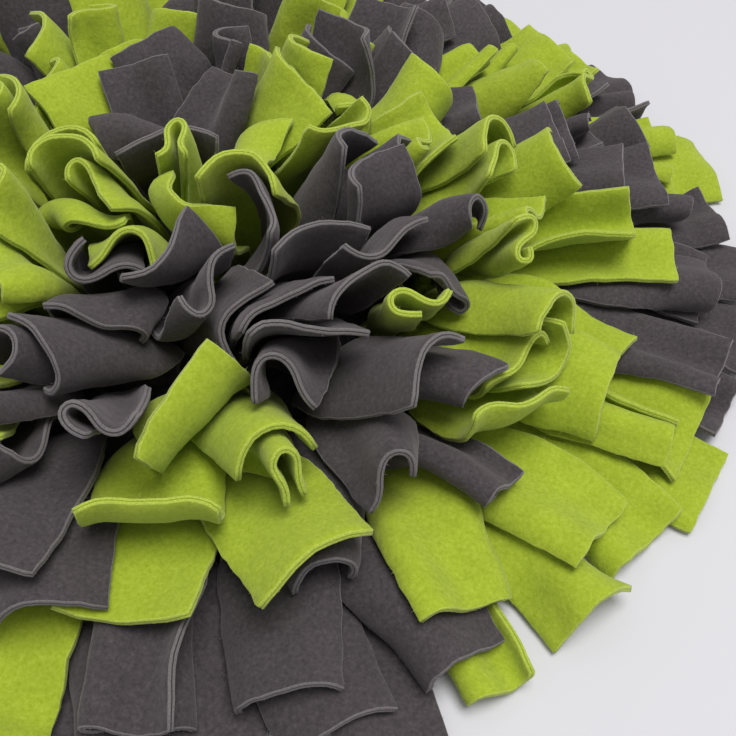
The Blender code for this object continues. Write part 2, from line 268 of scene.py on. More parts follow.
def sheet(points, thickness):
    """Vertices and faces of a closed sheet with this middle surface."""
    half = grid_normals(points) * thickness / 2
    vertices = np.concatenate([(points + half).reshape(-1, 3), (points - half).reshape(-1, 3)])
    along, across = points.shape[0] - 1, points.shape[1] - 1
    index = np.arange((along + 1) * (across + 1)).reshape(along + 1, across + 1)
    under = index.size
    faces = []
    for i in range(along):
        for j in range(across):
            a, b, c, d = index[i, j], index[i, j + 1], index[i + 1, j + 1], index[i + 1, j]
            faces.append((a, b, c, d))
            faces.append((a + under, d + under, c + under, b + under))
    rim = [*index[0, :-1], *index[:-1, -1], *index[-1, :0:-1], *index[:0:-1, 0]]
    for a, b in zip(rim, rim[1:] + rim[:1]):
        faces.append((a + under, b + under, b, a))
    return vertices, [tuple(map(int, face)) for face in faces]


def divisions(flap):
    """How many faces the flap takes across and along, from how far it curls and bends."""
    curled = abs(flap.curl) + 4 * abs(flap.wave)
    bent = abs(flap.tip_lean - flap.root_lean)
    across = 1 + sum(curled > limit for limit in CURL_LIMITS)
    along = 2 + sum(bent > limit for limit in BEND_LIMITS)
    return across, along


def nested_leans():
    """Root and tip lean of the row at each radius, from the rim in, each clear of the last."""
    rows = []
    outer = None
    outermost = OUTER_RING + math.hypot(*TWO_STRIPS[0])
    for radius in np.arange(outermost, NESTING_PITCH / 2, -NESTING_PITCH):
        share = min(radius / OUTER_RING, MOST_OUT)
        wished_lean = ROOT_LEAN * share**ROOT_LEAN_POWER
        extra = TIP_EXTRA_MIDDLE + TIP_EXTRA_RIM * share**TIP_EXTRA_POWER
        for ease in np.linspace(1, 0, EASINGS):
            root_lean = wished_lean * ease
            tip_lean = root_lean + extra * (EASED_TIP + (1 - EASED_TIP) * ease)
            flap = plain_flap((radius, 0.0), 0.0, root_lean, tip_lean)
            _, _, reach, height = spine(flap)
            path = np.stack([radius + reach, height], axis=1)
            if outer is None:
                break
            apart = np.linalg.norm(path[:, None] - outer[None], axis=2).min()
            if apart >= NESTING_GAP:
                break
        rows.append((radius, root_lean, tip_lean))
        outer = path
    return np.array(rows[::-1]).T


def plain_flap(place, facing, root_lean, tip_lean):
    """A narrow flat flap, which leans out and bends."""
    root = (place[0], place[1], BACKING_THICKNESS + PIECE_GAP + ROOT_RISE)
    return Flap(root, facing, root_lean, tip_lean)


def knots():
    """Each knot's centre and colour, how far it is turned, and how loosely its flaps point."""
    rng = random.Random(SEED)
    found = []
    for ring in RINGS:
        count = len(ring["colours"])
        inward = 1 - ring["radius"] / OUTER_RING
        loose = LOOSE_AT_RIM + (LOOSE_IN_MIDDLE - LOOSE_AT_RIM) * inward**LOOSE_POWER
        for number, colour in enumerate(ring["colours"]):
            angle = ring["first_angle"] + 2 * math.pi * number / count
            centre = np.array((math.cos(angle), math.sin(angle))) * ring["radius"]
            turn = angle + rng.uniform(-KNOT_TURN, KNOT_TURN)
            roots = ring["roots"]
            found.append(dict(centre=centre, colour=colour, turn=turn, loose=loose, roots=roots))
    return found


def first_shape(knot, root, leans, rng):
    """The narrow flap that one of a bunch starts from. It leans as its place on the mat does."""
    along = np.array((math.cos(knot["turn"]), math.sin(knot["turn"])))
    aside = np.array((-along[1], along[0]))
    place = knot["centre"] + root[0] * along + root[1] * aside
    radius = math.hypot(*place)
    outward = knot["loose"] * rng.uniform(-1, 1)
    facing = math.atan2(place[1], place[0]) - outward
    root_lean = float(np.interp(radius, leans[0], leans[1]))
    tip_lean = float(np.interp(radius, leans[0], leans[2]))
    lean = root_lean * math.cos(outward)
    flap = plain_flap(place, facing, lean, lean + math.copysign(tip_lean - root_lean, lean))
    flap.side_lean = root_lean * math.sin(outward) * SIDE_LEAN_SHARE + rng.uniform(-FAN, FAN)
    flap.length = FLAP_LENGTH * rng.uniform(*LENGTH_RANGE)
    flap.curl = -STARTING_WIDTH / (radius + STARTING_WIDTH) * math.cos(lean)
    flap.phase = rng.choice((0.0, math.pi / 2))
    return flap


def wished_shape(first, rng):
    """A full-width shape for the flap to open towards."""
    goal = replace(first)
    goal.width = STRIP_WIDTH * rng.uniform(*OPENED_RANGE)
    goal.facing = first.facing + rng.gauss(0, FACING_SPREAD)
    goal.side_lean = first.side_lean + rng.gauss(0, SIDE_SPREAD)
    goal.bend_end = rng.uniform(*BEND_END_RANGE)
    goal.flare = rng.uniform(*FLARE_RANGE)
    goal.twist = rng.gauss(0, TWIST_SPREAD)
    way = math.copysign(1, first.root_lean)
    lying = smooth((first.root_lean - STANDS_BELOW) / (LIES_ABOVE - STANDS_BELOW))
    if rng.random() < lying:
        goal.root_lean = first.root_lean + rng.gauss(0, LYING_LEAN_SPREAD)
        goal.tip_lean = first.tip_lean + way * rng.uniform(*LYING_TIP_RANGE) * DEG
        goal.curl = rng.uniform(*LYING_CURL_RANGE) * DEG
        return goal
    habit = rng.choices(HABITS, [habit["chance"] for habit in HABITS])[0]
    goal.curl = rng.uniform(*habit["curl"]) * DEG
    goal.wave = rng.choice((-1, 1)) * rng.uniform(*habit["wave"])
    if habit["fold"]:
        goal.tip_lean = first.root_lean + way * rng.uniform(*habit["fold"]) * DEG
        goal.bend_start = rng.uniform(*FOLD_START_RANGE)
    return goal


def prism(centre, radius, low, high, sides):
    """Vertices and faces of an upright prism."""
    angles = (np.arange(sides) + 0.5) * 2 * math.pi / sides
    x = centre[0] + radius * np.cos(angles)
    y = centre[1] + radius * np.sin(angles)
    vertices = np.array([(*point, z) for z in (low, high) for point in zip(x, y)])
    bottom = tuple(range(sides))
    faces = [bottom[::-1], tuple(i + sides for i in bottom)]
    for i, j in zip(bottom, bottom[1:] + bottom[:1]):
        faces.append((i, j, j + sides, i + sides))
    return vertices, faces


def knot_shape(centre, grown=0.0):
    """A knot is a low prism on the backing."""
    low = BACKING_THICKNESS + PIECE_GAP - grown
    high = BACKING_THICKNESS + PIECE_GAP + KNOT_HEIGHT + grown
    return prism(centre, KNOT_RADIUS + grown, low, high, KNOT_SIDES)


def backing_shape(grown=0.0):
    """The disc. Where it is grown, its top stays under the roots of the flaps."""
    high = BACKING_THICKNESS + min(grown, ROOT_ROOM)
    return prism((0.0, 0.0), BACKING_RADIUS + grown, 0.0, high, BACKING_SIDES)


class Crowd:
    """The bodies that are in place, each with its own knot, to test that a new one is clear."""

    def __init__(self):
        self.trees = []
        self.knot_of = []
        self.low = np.empty((0, 3))
        self.high = np.empty((0, 3))

    def add(self, body, knot=None):
        tree, low, high = body
        self.trees.append(tree)
        self.knot_of.append(knot)
        self.low = np.vstack([self.low, low])
        self.high = np.vstack([self.high, high])
        return len(self.trees) - 1

    def replace(self, place, body):
        self.trees[place], self.low[place], self.high[place] = body

    def is_clear(self, body, place=None, knot=None):
        tree, low, high = body
        near = np.nonzero(((self.low < high) & (self.high > low)).all(axis=1))[0]
        for other in near:
            if other == place or (knot is not None and self.knot_of[other] == knot):
                continue
            if self.trees[other].overlap(tree):
                return False
        return True


def body_of(vertices, faces):
    tree = BVHTree.FromPolygons(vertices.tolist(), faces)
    return tree, vertices.min(axis=0), vertices.max(axis=0)


def flap_body(flap):
    """The flap with the clearance that it keeps on both faces."""
    return body_of(*sheet(middle_surface(flap, *divisions(flap)), STRIP_THICKNESS + 2 * CLEARANCE))


def arranged_flaps(bunches):
    """(knot number, flap) of each flap, opened from narrow flat ones as far as there is room."""
    rng = random.Random(SEED)
    leans = nested_leans()
    crowd = Crowd()
    crowd.add(body_of(*backing_shape(CLEARANCE)))
    for number, knot in enumerate(bunches):
        crowd.add(body_of(*knot_shape(knot["centre"], CLEARANCE)), knot=number)
    flaps = []
    for number, knot in enumerate(bunches):
        for root in knot["roots"]:
            for _ in range(FIRST_TRIES):
                first = first_shape(knot, root, leans, rng)
                body = flap_body(first)
                if crowd.is_clear(body, knot=number):
                    break
            else:
                continue
            state = dict(knot=number, first=first, now=first, start=first, share=0.0, tries=0)
            state["place"] = crowd.add(body)
            state["goal"] = wished_shape(first, rng)
            flaps.append(state)
    order = list(flaps)
    for turn in range(ROUNDS):
        rng.shuffle(order)
        for state in order:
            open_a_little(state, crowd, rng, late=turn > ROUNDS / 2)
    return [(state["knot"], state["now"]) for state in flaps]


def open_a_little(state, crowd, rng, late):
    """One step towards the flap's goal, or a new goal where it is in its neighbours' way."""
    if state["share"] >= 1:
        return
    share = min(1.0, state["share"] + STEP)
    flap = blend(state["start"], state["goal"], share)
    body = flap_body(flap)
    if crowd.is_clear(body, state["place"], state["knot"]):
        crowd.replace(state["place"], body)
        state.update(now=flap, share=share, tries=0)
        return
    state["tries"] += 1
    if state["tries"] > 1:
        goal = wished_shape(state["first"], rng)
        if late:
            kept = ("root_lean", "tip_lean", "side_lean", "facing", "twist")
            shift = blend(state["now"], goal, LATE_SHIFT)
            goal = replace(goal, **{name: getattr(shift, name) for name in kept})
        goal.phase = state["now"].phase
        state.update(start=state["now"], goal=goal, share=0.0, tries=0)


# Cloth: each flap is a grid of points, with the first rows held in the knot
GRID_ROWS = 16
GRID_COLUMNS = 9
HELD_ROWS = 2
STEPS = 180
PASSES = 2
GROWING = 0.6  # share of the steps in which the flaps widen and take their own curls
TOUCHING = 3.7 * MM  # between points of two flaps that touch; it covers the points' own spacing
PUSH_SHARE = 1.4
SEARCH_AGAIN = 0.6 * MM  # how far most points move between two searches for pairs
MOVED_SHARE = 0.99
NEXT_DOOR = 2  # points of one flap up to this many cells apart don't push each other
LONGEST_MOVE = 0.5 * MM
KEPT_SPEED = 0.90
DROP = 0.016 * MM
SHEAR_STIFFNESS = 0.35
BEND_ALONG = 0.2
BEND_ACROSS = 0.3
FLOOR_LEVEL = 1.5 * MM
BACKING_LEVEL = BACKING_THICKNESS + 1.3 * MM
BACKING_REACH = BACKING_RADIUS + 2 * MM

# Each flap's own shape, at random: its width, a curl and waves across it, and a fold along it
WIDTH_RANGE = (0.97, 1.05)
OPEN_BY = 0.5  # share of the length by which a flap has its full width
CURL_RANGE = (60 * DEG, 220 * DEG)
HOLLOW_DOWN = 0.85  # share of the flaps that curl their long edges down
WAVE = 0.9  # standard deviation of its slope
OWN_CURL_FROM = 0.1
OWN_CURL_OVER = 0.5
FOLD = 100 * DEG  # standard deviation
FOLD_PLACE = (0.35, 0.85)
FOLD_SPREAD = (0.12, 0.3)
CALM_FROM = 115 * MM  # from this radius on, the flaps lie calmer
CALM_OVER = 60 * MM
CALM_SHARE = 0.2


def every_length(points, first, second):
    return np.linalg.norm(points[second] - points[first], axis=-1)


def off_line(points):
    """How far each point's two neighbours, across and along, lie to one side of it."""
    normal = grid_normals(points)
    across = np.zeros(points.shape[:3])
    along = np.zeros(points.shape[:3])
    middle = (points[:, :, 2:] + points[:, :, :-2]) / 2 - points[:, :, 1:-1]
    across[:, :, 1:-1] = (middle * normal[:, :, 1:-1]).sum(-1)
    middle = (points[:, 2:] + points[:, :-2]) / 2 - points[:, 1:-1]
    along[:, 1:-1] = (middle * normal[:, 1:-1]).sum(-1)
    return across, along


def opened_flat(flaps, rng):
    """The flaps laid flat at full width. Only the lengths between their points are used."""
    s = np.linspace(0, 1, GRID_ROWS)
    u = np.linspace(-0.5, 0.5, GRID_COLUMNS)
    flat = np.zeros((len(flaps), GRID_ROWS, GRID_COLUMNS, 3))
    for number, flap in enumerate(flaps):
        full = STRIP_WIDTH * rng.uniform(*WIDTH_RANGE)
        width = PINCHED_WIDTH + (full - PINCHED_WIDTH) * smooth(s / OPEN_BY)
        flat[number, ..., 0] = u * width[:, None]
        flat[number, ..., 1] = (s * flap.length)[:, None]
    return flat


def own_curls(flaps, points, rng):
    """The curl that each flap would take by itself, as off_line gives it."""
    count = len(flaps)
    radius = np.array([math.hypot(*flap.root[:2]) for flap in flaps])
    lively = 1 - CALM_SHARE * smooth((radius - CALM_FROM) / CALM_OVER)
    up = np.sign(grid_normals(points)[:, GRID_ROWS // 2, GRID_COLUMNS // 2, 2])
    side = np.where(rng.random(count) < HOLLOW_DOWN, -up, up)
    curl = (side * rng.uniform(*CURL_RANGE, count) * lively)[:, None, None]
    wave = (rng.normal(0, WAVE, count) * lively)[:, None, None]
    phase = rng.uniform(0, 2 * math.pi, count)[:, None, None]
    s = np.linspace(0, 1, GRID_ROWS)[None, :, None]
    u = np.linspace(0, 1, GRID_COLUMNS)[None, None]
    turn = curl + 2 * math.pi * wave * np.cos(2 * math.pi * u + phase)
    grown = smooth((s - OWN_CURL_FROM) / OWN_CURL_OVER)
    across = turn * grown * STRIP_WIDTH / (GRID_COLUMNS - 1) ** 2 / 2
    fold = (rng.normal(0, FOLD, count) * lively)[:, None, None]
    place = rng.uniform(*FOLD_PLACE, count)[:, None, None]
    spread = rng.uniform(*FOLD_SPREAD, count)[:, None, None]
    share = np.exp(-(((s - place) / spread) ** 2))
    share = share / share.sum(axis=1, keepdims=True)
    along = off_line(points)[1] + fold * share * FLAP_LENGTH / (GRID_ROWS - 1) / 2
    return across, along


def link_sets():
    """Pairs of slices that join neighbouring points, with how strongly they are kept."""
    every = slice(None)
    lefts = slice(None, -1)
    rights = slice(1, None)
    sets = []
    for start in (0, 1):
        low = slice(start, GRID_ROWS - 1, 2)
        high = slice(start + 1, GRID_ROWS, 2)
        left = slice(start, GRID_COLUMNS - 1, 2)
        right = slice(start + 1, GRID_COLUMNS, 2)
        sets.append(((every, low, every), (every, high, every), 1.0))
        sets.append(((every, every, left), (every, every, right), 1.0))
        sets.append(((every, low, lefts), (every, high, rights), SHEAR_STIFFNESS))
        sets.append(((every, low, rights), (every, high, lefts), SHEAR_STIFFNESS))
    return sets


def near_pairs(points, reach):
    """Index pairs of points closer than reach, of two flaps or well apart on one.

    The points are sorted into cubes as wide as the reach. Each is paired with those in its own
    cube and in half of the cubes round it.
    """
    cell = np.floor(points / reach).astype(np.int64)
    cell -= cell.min(axis=0) - 1
    size = cell.max(axis=0) + 2
    key = (cell[:, 0] * size[1] + cell[:, 1]) * size[2] + cell[:, 2]
    order = np.argsort(key, kind="stable")
    sorted_key = key[order]
    place = np.arange(len(order))
    firsts = []
    seconds = []
    steps = [(x, y, z) for x in (0, 1) for y in (-1, 0, 1) for z in (-1, 0, 1)]
    for step in steps[steps.index((0, 0, 0)) :]:
        wanted = sorted_key + (step[0] * size[1] + step[1]) * size[2] + step[2]
        begin = np.searchsorted(sorted_key, wanted, "left")
        end = np.searchsorted(sorted_key, wanted, "right")
        if step == (0, 0, 0):
            begin = place + 1
        count = np.maximum(end - begin, 0)
        first = np.repeat(place, count)
        offset = np.arange(len(first)) - np.repeat(np.cumsum(count) - count, count)
        firsts.append(order[first])
        seconds.append(order[np.repeat(begin, count) + offset])
    i = np.concatenate(firsts)
    j = np.concatenate(seconds)
    per_flap = GRID_ROWS * GRID_COLUMNS
    rows_apart = np.abs(i % per_flap // GRID_COLUMNS - j % per_flap // GRID_COLUMNS)
    columns_apart = np.abs(i % GRID_COLUMNS - j % GRID_COLUMNS)
    apart = (i // per_flap != j // per_flap) | (rows_apart > NEXT_DOOR)
    apart |= columns_apart > NEXT_DOOR
    close = ((points[i] - points[j]) ** 2).sum(axis=1) < reach * reach
    return i[apart & close], j[apart & close]


def keep_apart(points, weight, pairs):
    """Moves points that are closer than two touching flaps away from each other."""
    i, j = pairs
    delta = points[j] - points[i]
    distance = np.sqrt((delta**2).sum(axis=1))
    close = distance < TOUCHING
    i, j, delta, distance = i[close], j[close], delta[close], distance[close]
    push = delta * ((TOUCHING - distance) / (2 * np.maximum(distance, TINY)))[:, None]
    moved = np.empty_like(points)
    count = np.bincount(i, minlength=len(points)) + np.bincount(j, minlength=len(points))
    for axis in range(3):
        moved[:, axis] = np.bincount(j, push[:, axis], len(points))
        moved[:, axis] -= np.bincount(i, push[:, axis], len(points))
    share = weight * PUSH_SHARE / np.maximum(count, PUSH_SHARE)
    points += moved * share[:, None]


def keep_lengths(points, weight, sets, rests):
    """Draws each pair of neighbouring points towards its length at rest."""
    for (first, second, stiffness), rest in zip(sets, rests):
        a, b = points[first], points[second]
        delta = b - a
        length = np.sqrt((delta**2).sum(-1))
        free_a, free_b = weight[first], weight[second]
        pull = stiffness * (length - rest) / np.maximum(length * (free_a + free_b), TINY)
        a += delta * (pull * free_a)[..., None]
        b -= delta * (pull * free_b)[..., None]


def bend(points, weight, across, along):
    """Draws each flap towards its own curl."""
    normal = grid_normals(points)
    change = np.zeros_like(points)
    off = (points[:, 2:] + points[:, :-2]) / 2 - points[:, 1:-1]
    off = (off - normal[:, 1:-1] * along[:, 1:-1, :, None]) * BEND_ALONG
    change[:, 1:-1] += off
    change[:, 2:] -= off / 2
    change[:, :-2] -= off / 2
    off = (points[:, :, 2:] + points[:, :, :-2]) / 2 - points[:, :, 1:-1]
    off = (off - normal[:, :, 1:-1] * across[:, :, 1:-1, None]) * BEND_ACROSS
    change[:, :, 1:-1] += off
    change[:, :, 2:] -= off / 2
    change[:, :, :-2] -= off / 2
    points += change * weight[..., None]


def keep_off_floor(points, before, weight):
    """Lifts points onto the floor or the backing, where they slide less."""
    inside = np.hypot(points[..., 0], points[..., 1]) < BACKING_REACH
    low = np.where(inside, BACKING_LEVEL, FLOOR_LEVEL)
    under = (points[..., 2] < low) & (weight > 0)
    points[..., 2] = np.where(under, low, points[..., 2])
    held = (points[..., :2] + before[..., :2]) / 2
    points[..., :2] = np.where(under[..., None], held, points[..., :2])


def settled(flaps):
    """The flaps' middle surfaces, opened to full width and settled, (flaps, rows, columns, 3)."""
    rng = np.random.default_rng(SEED)
    points = np.array([middle_surface(f, GRID_COLUMNS - 1, GRID_ROWS - 1) for f in flaps])
    flat = opened_flat(flaps, rng)
    goal_across, goal_along = own_curls(flaps, points, rng)
    first_across, first_along = off_line(points)
    sets = link_sets()
    starts = [every_length(points, first, second) for first, second, _ in sets]
    ends = [every_length(flat, first, second) for first, second, _ in sets]
    weight = np.ones(points.shape[:3])
    weight[:, :HELD_ROWS] = 0
    before = points.copy()
    searched = points.reshape(-1, 3) + 2 * SEARCH_AGAIN  # so that the first pass searches
    for step in range(STEPS):
        move = (points - before) * KEPT_SPEED
        before = points.copy()
        move[..., 2] -= DROP
        length = np.linalg.norm(move, axis=-1, keepdims=True)
        move *= np.minimum(1, LONGEST_MOVE / np.maximum(length, TINY))
        points = points + move * weight[..., None]
        listed = points.reshape(-1, 3)
        grown = min(1.0, (step + 1) / (GROWING * STEPS))
        rests = [start + (end - start) * grown for start, end in zip(starts, ends)]
        across = first_across + (goal_across - first_across) * grown
        along = first_along + (goal_along - first_along) * grown
        for _ in range(PASSES):
            keep_lengths(points, weight, sets, rests)
            bend(points, weight, across, along)
            moved = np.abs(listed - searched).max(axis=1)
            if np.quantile(moved, MOVED_SHARE) > SEARCH_AGAIN:
                pairs = near_pairs(listed, TOUCHING + 2 * SEARCH_AGAIN)
                searched = listed.copy()
            keep_apart(listed, weight.reshape(-1), pairs)
            keep_off_floor(points, before, weight)
    return points


# The fine mesh of a flap: two faces and a cut edge of two rounded layers with a groove between,
# which is coloured darker as painted shade
FACE, EDGE, GROOVE_SHADE = range(3)
SEGMENT_TURN = 18 * DEG
FINER = ((1.35, 2.0), (1.4, 2.9))  # segments per cell of the cloth, along and across
HALF = STRIP_THICKNESS / 2
EDGE_BULGE = 0.28 * MM
EDGE_SHARE = 0.78  # of its thickness, what a flap keeps at its edge
BANDS = ((0.60, 1.0), (0.14, 0.80), (-0.14, 0.80), (-0.60, 1.0))  # level and bulge, in shares
LUMP = 0.16 * MM
LUMP_LENGTH = 9 * MM
RAGGED = 0.22 * MM
RAGGED_LENGTH = 6 * MM
WAVES = 14  # in a random function of place
WAVE_LENGTHS = (0.7, 1.6)

# Loose fibres stand out of the cut edges
FIBRES_PER_FLAP = 138
FIBRE_RADIUS = 0.055 * MM
FIBRE_LENGTH = (0.3 * MM, 1.5 * MM)
FIBRE_LEVEL = 0.8  # how far from the middle of the edge they start, in half thicknesses
FIBRE_SPREAD = 0.75

# A knot is gathered fleece, and the backing a disc with a soft edge. Their profiles hold radii
# and levels, in shares, from the top.
KNOT_SEGMENTS = 40
KNOT_PLEATS = 9
PLEAT_DEPTH = 0.05
KNOT_OVAL = 0.02
KNOT_PROFILE = ((0.05, 0.6), (0.45, 0.93), (0.8, 1.0), (0.97, 0.62), (0.98, 0.3), (0.86, 0.0))
BACKING_SEGMENTS = 180
BACKING_WOBBLE = 0.002
BACKING_TOP = ((0.5, 1.0), (0.9, 1.0), (0.985, 1.0), (0.996, 0.85), (1.0, 0.5))
BACKING_PROFILE = BACKING_TOP + tuple((reach, 1 - level) for reach, level in BACKING_TOP[-2::-1])


def spline_shares(count, control):
    """Each of the evenly spaced points of a cubic spline, as shares of its controls."""
    place = np.linspace(0, control - 1, count)
    first = np.minimum(place.astype(int), control - 2)
    t = place - first
    basis = [(1 - t) ** 3, 3 * t**3 - 6 * t**2 + 4, -3 * t**3 + 3 * t**2 + 3 * t + 1, t**3]
    padded = np.zeros((count, control + 2))
    for offset, values in enumerate(basis):
        padded[np.arange(count), first + offset] = values / 6
    shares = padded[:, 1:-1]
    # The control before the first and the one after the last lie straight on
    shares[:, 0] += 2 * padded[:, 0]
    shares[:, 1] -= padded[:, 0]
    shares[:, -1] += 2 * padded[:, -1]
    shares[:, -2] -= padded[:, -1]
    return shares


def turning(points):
    """The sharpest turn between two neighbouring cells of a grid, across and along it."""
    found = []
    for axis in (1, 0):
        step = np.diff(points, axis=axis)
        step /= np.linalg.norm(step, axis=2, keepdims=True)
        step = np.moveaxis(step, axis, 0)
        found.append(np.arccos(np.clip((step[1:] * step[:-1]).sum(-1), -1, 1)).max())
    return found


def fine_grid(points):
    """A smooth grid through a flap, finer where the flap turns sharply."""
    shares = []
    across, along = turning(points)
    for control, turn, (low, high) in zip((GRID_ROWS, GRID_COLUMNS), (along, across), FINER):
        finer = min(max(turn / SEGMENT_TURN, low), high)
        shares.append(spline_shares(round((control - 1) * finer) + 1, control))
    return np.einsum("ri,cj,ijk->rck", *shares, points)


def field(rng, wavelength):
    """A smooth random function of place, between about -1 and 1."""
    direction = rng.normal(size=(WAVES, 3))
    direction /= np.linalg.norm(direction, axis=1, keepdims=True)
    waves = direction * 2 * math.pi / (wavelength * rng.uniform(*WAVE_LENGTHS, (WAVES, 1)))
    phase = rng.uniform(0, 2 * math.pi, WAVES)
    return lambda points: np.sin(points @ waves.T + phase).sum(axis=-1) / math.sqrt(WAVES)


def rim_of(rows, columns):
    """Grid indices once round the border."""
    first = [(0, j) for j in range(columns - 1)]
    right = [(i, columns - 1) for i in range(rows - 1)]
    last = [(rows - 1, j) for j in range(columns - 1, 0, -1)]
    left = [(i, 0) for i in range(rows - 1, 0, -1)]
    return np.array(first + right + last + left).T


def edge_fibres(rim, normal, outward, rng):
    """Vertices and faces of loose fibres along a cut edge, each a thin closed spike."""
    count = rng.poisson(FIBRES_PER_FLAP)
    first = rng.integers(0, len(rim) - 1, count)
    share = rng.uniform(0, 1, (count, 1))
    level = rng.uniform(-FIBRE_LEVEL, FIBRE_LEVEL, (count, 1))
    along = rim[first + 1] - rim[first]
    base = rim[first] + along * share + normal[first] * (HALF * level)
    along /= np.linalg.norm(along, axis=1, keepdims=True)
    lean = rng.normal(0, FIBRE_SPREAD, (2, count, 1))
    toward = outward[first] + normal[first] * (level + lean[0]) + along * lean[1]
    toward /= np.linalg.norm(toward, axis=1, keepdims=True)
    low, high = FIBRE_LENGTH
    short = rng.uniform(0, 1, (count, 1)) ** 2  # most are short
    tip = base + toward * (low + (high - low) * short)
    tip[:, 2] = np.maximum(tip[:, 2], FIBRE_RADIUS)
    side = np.cross(toward, along + 0.3 * normal[first])  # any direction across the fibre
    side /= np.linalg.norm(side, axis=1, keepdims=True)
    other = np.cross(toward, side)
    turns = [2 * math.pi * i / 3 for i in range(3)]
    foot = [base + FIBRE_RADIUS * (math.cos(t) * side + math.sin(t) * other) for t in turns]
    corners = np.array([(0, 2, 1), (0, 1, 3), (1, 2, 3), (2, 0, 3)])
    faces = corners + 4 * np.arange(count)[:, None, None]
    return np.stack([*foot, tip], axis=1).reshape(-1, 3), faces.reshape(-1, 3)


def fleece_flap(points, lumps, ragged, rng):
    """Vertices, faces and material numbers of one flap, and its loose fibres."""
    rows, columns = points.shape[:2]
    normal = grid_normals(points)
    points = points + normal * (LUMP * lumps(points))[..., None]
    rim = tuple(rim_of(rows, columns))
    inner = (np.clip(rim[0], 1, rows - 2), np.clip(rim[1], 1, columns - 2))
    outward = points[rim] - points[inner]
    outward /= np.linalg.norm(outward, axis=1, keepdims=True)
    points[rim] += outward * (RAGGED * ragged(points[rim]))[:, None]
    thick = np.full((rows, columns, 1), HALF)
    thick[rim] *= EDGE_SHARE
    upper = points + normal * thick
    lower = points - normal * thick
    bands = [
        points[rim] + normal[rim] * (HALF * level) + outward * (EDGE_BULGE * bulge)
        for level, bulge in BANDS
    ]
    vertices = np.concatenate([upper.reshape(-1, 3), lower.reshape(-1, 3)] + bands)
    index = np.arange(rows * columns).reshape(rows, columns)
    a, b = index[:-1, :-1].ravel(), index[:-1, 1:].ravel()
    c, d = index[1:, 1:].ravel(), index[1:, :-1].ravel()
    faces = [np.stack([a, b, c, d], 1), np.stack([a, d, c, b], 1) + index.size]
    looks = [np.full(2 * len(a), FACE)]
    around = len(rim[0])
    rings = [index[rim]]
    rings += [2 * index.size + around * i + np.arange(around) for i in range(len(BANDS))]
    rings += [index[rim] + index.size]
    for number, (first, second) in enumerate(zip(rings, rings[1:])):
        quads = [first, second, np.roll(second, -1), np.roll(first, -1)]
        faces.append(np.stack(quads, 1))
        # The middle band lies in the groove and takes the material of painted shade
        looks.append(np.full(around, GROOVE_SHADE if number == len(BANDS) // 2 else EDGE))
    free = slice(columns - 1, None)
    fibres = edge_fibres(points[rim][free], normal[rim][free], outward[free], rng)
    return vertices, np.concatenate(faces), np.concatenate(looks), fibres


def round_body(centre, turn, outline):
    """Vertices and faces of a closed body from its radii, at each angle, and its heights."""
    rings = []
    for radius, height in outline:
        x = centre[0] + radius * np.cos(turn)
        y = centre[1] + radius * np.sin(turn)
        rings.append(np.stack([x, y, np.full(len(turn), height)], axis=1))
    middles = [(*centre, outline[0][1]), (*centre, outline[-1][1])]
    vertices = np.concatenate([*rings, middles])
    around = len(turn)
    top = len(rings) * around
    last = top - around
    here = np.arange(around)
    after = np.roll(here, -1)
    faces = []
    for low in range(0, last, around):
        high = low + around
        faces += np.stack([low + here, high + here, high + after, low + after], 1).tolist()
    faces += np.stack([np.full(around, top), here, after], 1).tolist()
    faces += np.stack([np.full(around, top + 1), last + after, last + here], 1).tolist()
    return vertices, faces


def gathered_knot(centre, phase):
    """Vertices and faces of a knot: a low pleated mound with a flat foot."""
    turn = np.arange(KNOT_SEGMENTS) * 2 * math.pi / KNOT_SEGMENTS
    pleats = 1 + PLEAT_DEPTH * np.cos(KNOT_PLEATS * turn + phase)
    pleats += KNOT_OVAL * np.cos(2 * turn - phase)
    low = BACKING_THICKNESS + PIECE_GAP
    outline = [
        (KNOT_RADIUS * reach * pleats, low + KNOT_HEIGHT * level) for reach, level in KNOT_PROFILE
    ]
    return round_body(centre, turn, outline)


# Materials of a fleece, after its face's
EDGE_KINDS = ("edge", "groove_shade", "fibre")
FLEECES = {
    "G": dict(
        slot="green_fleece",
        dark=(0.262, 0.355, 0.014),
        light=(0.356, 0.450, 0.034),
        fleck=(0.435, 0.530, 0.065),
        edge=(0.435, 0.535, 0.070),
        # painted shade: the groove between the edge's two layers is coloured darker, where shade
        # falls
        groove_shade=(0.235, 0.325, 0.016),
        fibre=(0.540, 0.650, 0.150),
        sheen=(0.90, 0.95, 0.55),
    ),
    "S": dict(
        slot="slate_fleece",
        dark=(0.038, 0.033, 0.035),
        light=(0.070, 0.060, 0.064),
        fleck=(0.112, 0.098, 0.102),
        edge=(0.165, 0.150, 0.153),
        # painted shade: the groove between the edge's two layers is coloured darker, where shade
        # falls
        groove_shade=(0.036, 0.032, 0.033),
        fibre=(0.270, 0.252, 0.254),
        sheen=(0.66, 0.60, 0.62),
    ),
}
SPECULAR = 0.15
SHEEN_ROUGHNESS = 0.55


